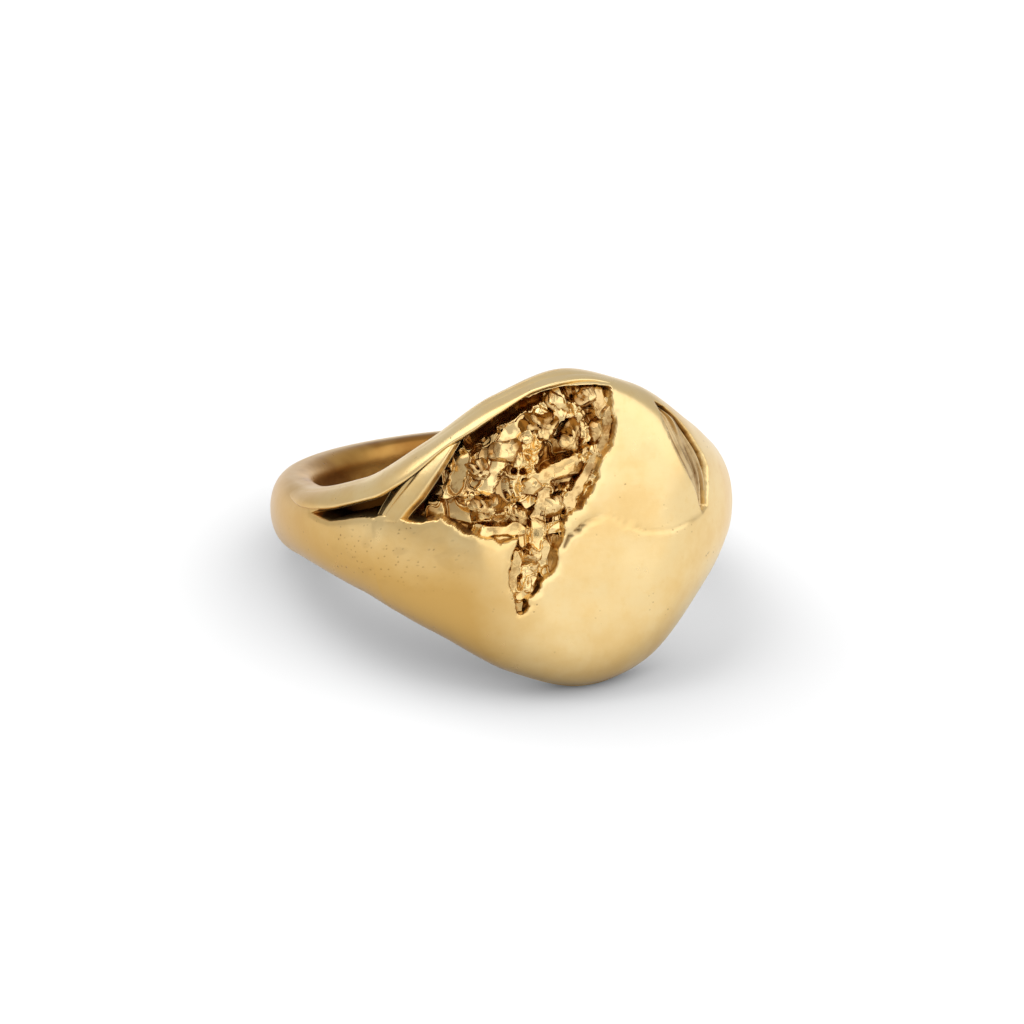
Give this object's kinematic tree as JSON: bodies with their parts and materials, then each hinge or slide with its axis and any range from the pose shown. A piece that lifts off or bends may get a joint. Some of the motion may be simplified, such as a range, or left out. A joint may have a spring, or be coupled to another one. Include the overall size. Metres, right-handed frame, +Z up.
{
  "type": "signet ring",
  "caption": "Gold signet ring with a broad tapering head, a flat polished table and a broken ore-filled crevice across one shoulder.",
  "frame": {"origin": "on the surface the ring lies on, under the middle of its bounding box", "axes": "+Z up; the table faces -Y and a little up; the bore axis leans from +Z towards +Y by 17.9 degrees; the back of the shank is towards +Y"},
  "size_m": [0.0236, 0.0244, 0.016],
  "materials": {
    "polished_gold": "polished",
    "ore_gold": "cast and lightly burnished",
    "bed_gold": "rough cast, darkened"
  },
  "bodies": {
    "root": {"shank": "polished_gold", "signet_head": "polished_gold", "upper_rim": "polished_gold", "web": "polished_gold", "ore_bed": "bed_gold", "vein_bed": "bed_gold", "crevice_bed": "bed_gold", "nugget_1": "ore_gold", "nugget_2": "ore_gold", "nugget_3": "ore_gold", "nugget_4": "ore_gold", "nugget_5": "ore_gold", "nugget_6": "ore_gold", "nugget_7": "ore_gold", "nugget_8": "ore_gold", "nugget_9": "ore_gold", "nugget_10": "ore_gold", "nugget_11": "ore_gold", "nugget_12": "ore_gold", "nugget_13": "ore_gold", "nugget_14": "ore_gold"}
  },
  "joints": []
}
